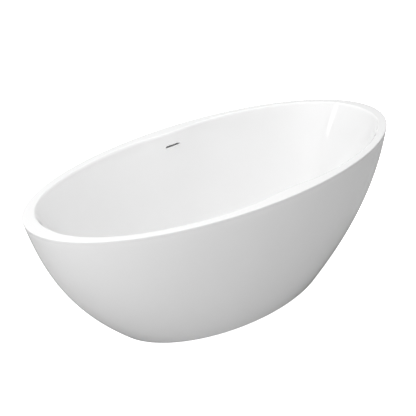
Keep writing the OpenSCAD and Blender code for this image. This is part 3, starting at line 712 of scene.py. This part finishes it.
def make_hose():
    """The corrugated hose from the overflow's spout to the side of the waste body."""
    line, along, away = hose_line()
    stations = np.arange(0, along[-1], hose_ring_gap)
    centres = np.column_stack([np.interp(stations, along, line[:, k]) for k in (0, 1)])
    directions = np.gradient(centres, axis=0)
    directions[0], directions[-1] = away, (-1, 0)
    directions /= np.linalg.norm(directions, axis=1)[:, None]
    from_end = np.minimum(stations, along[-1] - stations)
    depth = hose_groove * np.clip((from_end - hose_cuff) / hose_fade, 0, 1)
    radius = hose_r - depth * (0.5 + 0.5 * np.cos(2 * math.pi * stations / hose_pitch)) ** 1.6
    hose = tube("overflow_hose_corrugated", centres, directions, 32, radius, hose_bore, grey_plastic)
    finished(hose, "tub", "grey_plastic", "overflow_hose")


# Screw feet: an M12 thread, turned down a hair so that it clears its nut, and a hexagon collar
stud_r, stud_play, stud_sides = 6, 0.02, 40
thread_pitch, thread_depth, thread_crest, thread_flank = 1.75, 0.95, 0.12, 0.7
shank_end, thread_start, thread_stop, run_in, run_out = 21, 22, 2, 3, 2
foot_chamfer, tip_chamfer = 0.6, 1
collar_flats, collar_from, collar_to, collar_chamfer = 17, 13.9, 19.9, 0.7


def make_stud(k):
    """A screw foot: a rolled thread on the shank, a plain tip in the pad and a hexagon collar."""
    low, high = box_mm(f"foot_stud_{k}")
    x, y = (low[:2] + high[:2]) / 2
    bottom, top = low[2], high[2]
    angles = np.linspace(0, 2 * math.pi, stud_sides, endpoint=False)
    thread_from, thread_to = bottom + thread_start, top - thread_stop
    thread = np.arange(thread_from, thread_to, thread_pitch / 8)
    ends = {bottom: foot_chamfer, top: tip_chamfer}
    rows = []
    for z in [bottom, bottom + foot_chamfer, bottom + shank_end, *thread, top]:
        ramp = min(1, max(0, (z - thread_from) / run_in)) * min(1, max(0, (thread_to - z) / run_out))
        wave = np.abs(((z / thread_pitch - angles / (2 * math.pi)) % 1) * 2 - 1)
        flank = np.clip((wave - thread_crest) / thread_flank, 0, 1)
        radius = stud_r - stud_play - thread_depth * ramp * flank - ends.get(z, 0)
        level = np.full(stud_sides, z)
        rows.append(np.column_stack([radius * np.cos(angles), radius * np.sin(angles), level]))
    points, faces = grid(rows, wrap=False)
    stud = mesh_object(f"foot_screw_{k}", points, faces, [zinc], sharp=80)
    collar = hexagon("collar", collar_flats, bottom + collar_from, bottom + collar_to, collar_chamfer, [zinc])
    carve(stud, [collar], "UNION")
    clean(stud, 45)
    placed(stud, Matrix.Translation((x * MM, y * MM, 0)))
    finished(stud, f"stud_{k}", "zinc_steel", f"foot_stud_{k}")


def hexagon(name, flats, z_from, z_to, chamfer, materials):
    """A hexagon bar with both ends turned to a chamfer."""
    corner = flats / 2 / math.cos(math.pi / 6)
    angles = np.linspace(0, 2 * math.pi, 6, endpoint=False)
    rows = [np.column_stack([corner * np.cos(angles), corner * np.sin(angles), np.full(6, z)])
            for z in (z_from, z_to)]
    points, faces = grid(rows, wrap=False)
    bar = mesh_object(name, points, faces, materials)
    face_r = flats / 2 - 0.3
    past_corner = 1.7
    wide_r, drop = face_r + (corner - face_r) * past_corner, chamfer * past_corner
    turned = revolve("turned", [(0, z_from), (face_r, z_from), (wide_r, z_from + drop),
                                (wide_r, z_to - drop), (face_r, z_to), (0, z_to)], materials, 72)
    carve(bar, [turned], "INTERSECT")
    return bar


def make_spring():
    """The cartridge's coil spring, with its end turns closed up."""
    low, high = box_mm("cartridge_spring")
    wire, coil, turns, sides, steps = 0.5, 4.6, 6.5, 12, 36
    closing = 0.11
    count = int(turns * steps)
    angles = np.linspace(0, 2 * math.pi, sides, endpoint=False)
    rows = []
    for j in range(count + 1):
        s = j / count
        climb = s - closing * math.sin(2 * math.pi * s)
        z = low[2] + wire + (high[2] - low[2] - 2 * wire) * climb
        around = 2 * math.pi * j / steps
        r = coil + wire * np.cos(angles)
        heights = z + wire * np.sin(angles)
        rows.append(np.column_stack([r * math.cos(around), r * math.sin(around), heights]))
    points, faces = grid(rows, wrap=False)
    spring = mesh_object("cartridge_coil", points, faces, [spring_wire], sharp=60)
    finished(spring, "tub", "spring_steel", "cartridge_spring")


# ---------------------------------------------------------------- CAD nodes that stay

# Each node's material and the softening of its edges, in millimetres
FINISHES = {
    "base_board": (plywood, 1.0),
    "frame_rail_front": (powder_coat, 1.2),
    "frame_rail_rear": (powder_coat, 1.2),
    "frame_crossbar_left": (powder_coat, 1.2),
    "frame_crossbar_right": (powder_coat, 1.2),
    "frame_weld_nuts": (zinc, 0.5),
    "frame_screws": (zinc, 0.4),
    "bracket_screws": (zinc, 0.3),
    "flange_screws": (zinc, 0.3),
    "foot_lock_nuts": (zinc, 0.5),
    "overflow_gasket": (rubber, 0.3),
    "overflow_box": (white_plastic, 0.6),
    "overflow_screws": (zinc, 0.25),
    "hose_nut_upper": (white_plastic, 0.5),
    "hose_nut_lower": (white_plastic, 0.5),
    "drain_flange_seal": (rubber, 0.15),
    "drain_gasket": (rubber, 0.4),
    "drain_body": (white_plastic, 0.6),
    "tailpiece": (grey_plastic, 0.3),
    "tailpiece_washer": (rubber, 0.3),
    "tailpiece_nut": (white_plastic, 0.5),
    "stopper_seal": (rubber, 0.4),
    "stopper_stem": (zinc, 0.3),
    "cartridge_sleeve": (brass, 0.2),
}
for number in range(1, 5):
    FINISHES[f"skirt_bracket_{number}"] = (powder_coat, 0.4)
    FINISHES[f"foot_pad_{number}"] = (nylon, 0.4)


SOFT_FROM = math.radians(40)


def finish_cad_nodes():
    """Each CAD node that still shows gets its finish and softened edges."""
    for node, (material, bevel) in FINISHES.items():
        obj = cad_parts[node]
        obj.data.materials.clear()
        obj.data.materials.append(material)
        weld = obj.modifiers.new("weld", "WELD")
        weld.merge_threshold = SAME_POINT
        soft = obj.modifiers.new("soft_edges", "BEVEL")
        soft.width = bevel * MM
        soft.segments = 2
        soft.limit_method = "ANGLE"
        soft.angle_limit = SOFT_FROM
        soft.harden_normals = False
        soft.use_clamp_overlap = True


# ---------------------------------------------------------------- stage


STAGE_HALF = 15
BOUNCE_DROP = 0.0005


def stage_plane(name, z, colour, glow):
    """A wide level plane that isn't part of the tub, in metres."""
    half = STAGE_HALF
    mesh = bpy.data.meshes.new(name)
    corners = [(-half, -half, z), (half, -half, z), (half, half, z), (-half, half, z)]
    mesh.from_pydata(corners, [], [(0, 1, 2, 3)])
    plane = bpy.data.objects.new(name, mesh)
    bpy.context.scene.collection.objects.link(plane)
    made = surface(name, colour, (0.9, 1.0), grain=2)
    shader = made.node_tree.nodes["Principled BSDF"]
    shader.inputs["Specular IOR Level"].default_value = 0
    shader.inputs["Emission Color"].default_value = (1, 1, 1, 1)
    shader.inputs["Emission Strength"].default_value = glow
    mesh.materials.append(made)
    return plane


def make_floor():
    """The pale floor that shows, and just under it the duller one that lights the tub from below."""
    shown = stage_plane("floor", 0, (grey(0.8), grey(0.82)), 1.1)
    shown.visible_diffuse = False
    shown.visible_glossy = False
    shown.visible_shadow = False
    bounce = stage_plane("floor_bounce", -BOUNCE_DROP, (grey(0.59), grey(0.61)), 0)
    bounce.visible_camera = False


# Each part of the dome is brightest in its direction: (direction, how narrow, strength)
DOME = [((-0.5, -0.86, 0.1), 6, 1.8), ((0, 1, 0), 1.5, 0.44), ((0, 0, 1), 4, 0.9)]


def make_world():
    """A soft studio dome, with plain white behind the tub."""
    world = bpy.data.worlds.new("studio")
    bpy.context.scene.world = world
    world.use_nodes = True
    tree = world.node_tree
    tree.nodes.clear()
    out = tree.nodes.new("ShaderNodeOutputWorld")
    place = tree.nodes.new("ShaderNodeTexCoord")
    total = None
    for direction, power, strength in DOME:
        toward = tree.nodes.new("ShaderNodeVectorMath")
        toward.operation = "DOT_PRODUCT"
        toward.inputs[1].default_value = Vector(direction).normalized()
        link(tree, place, "Generated", toward, 0)
        facing = tree.nodes.new("ShaderNodeMath")
        facing.operation = "MAXIMUM"
        facing.inputs[1].default_value = 0
        link(tree, toward, "Value", facing, 0)
        narrow = tree.nodes.new("ShaderNodeMath")
        narrow.operation = "POWER"
        narrow.inputs[1].default_value = power
        link(tree, facing, "Value", narrow, 0)
        light = tree.nodes.new("ShaderNodeBackground")
        light.inputs["Strength"].default_value = strength
        link(tree, narrow, "Value", light, "Color")
        if total:
            both = tree.nodes.new("ShaderNodeAddShader")
            link(tree, total, 0, both, 0)
            link(tree, light, 0, both, 1)
            light = both
        total = light
    white = tree.nodes.new("ShaderNodeBackground")
    white.inputs["Color"].default_value = (1, 1, 1, 1)
    path = tree.nodes.new("ShaderNodeLightPath")
    mix = tree.nodes.new("ShaderNodeMixShader")
    link(tree, path, "Is Camera Ray", mix, 0)
    link(tree, total, 0, mix, 1)
    link(tree, white, 0, mix, 2)
    link(tree, mix, "Shader", out, "Surface")


def softbox(name, position, target, width, height, power, mirrored=False):
    """An area light that faces its target, in metres and watts. Only a mirrored one shows in the gloss."""
    data = bpy.data.lights.new(name, "AREA")
    data.shape = "RECTANGLE"
    data.size, data.size_y = width, height
    data.energy = power
    light = bpy.data.objects.new(name, data)
    light.location = position
    light.visible_glossy = mirrored
    light.rotation_mode = "QUATERNION"
    light.rotation_quaternion = (Vector(target) - Vector(position)).to_track_quat("-Z", "Y")
    bpy.context.scene.collection.objects.link(light)


# The camera's aim and distance in metres, its bearing, and its lens and sensor in millimetres
CAMERA_AIM, CAMERA_DISTANCE = (-0.0325, 0.0610, 0.3459), 3.3
CAMERA_AZIMUTH, CAMERA_ELEVATION = math.radians(-41.044), math.radians(28.291)
CAMERA_LENS, CAMERA_SENSOR, CAMERA_REACH = 71.98, 36, 100


def make_camera():
    """The camera stands to the left in front of the tub and looks down at it."""
    data = bpy.data.cameras.new("camera")
    data.sensor_width = CAMERA_SENSOR
    data.lens = CAMERA_LENS
    data.clip_end = CAMERA_REACH
    camera = bpy.data.objects.new("camera", data)
    level = math.cos(CAMERA_ELEVATION)
    back = Vector((math.sin(CAMERA_AZIMUTH) * level, -math.cos(CAMERA_AZIMUTH) * level,
                   math.sin(CAMERA_ELEVATION)))
    camera.location = Vector(CAMERA_AIM) + back * CAMERA_DISTANCE
    camera.rotation_mode = "QUATERNION"
    camera.rotation_quaternion = (-back).to_track_quat("-Z", "Y")
    bpy.context.scene.collection.objects.link(camera)
    bpy.context.scene.camera = camera


# ---------------------------------------------------------------- the scene

make_camera()
make_basin()
make_overflow_trim()
make_skirt()
make_drain_flange()
make_stopper_cap()
make_hose()
for number in range(1, 5):
    make_stud(number)
make_spring()
finish_cad_nodes()
make_floor()
make_world()
softbox("key", (-1.95, -0.9, 2.3), (0.72, 0.1, 0.5), width=0.45, height=1.6, power=18)
softbox("streak", (-1.77, -1.01, 2.425), (0.74, 0.1, 0.53), width=0.47, height=0.57, power=2.9, mirrored=True)
softbox("overhead", (0.6, 0.3, 3.1), (0, 0, 0.4), width=3.0, height=2.0, power=46)
softbox("side", (-3.4, -0.4, 2.4), (0, 0, 0.4), width=1.8, height=1.8, power=21)
bpy.context.scene.view_settings.view_transform = "Standard"
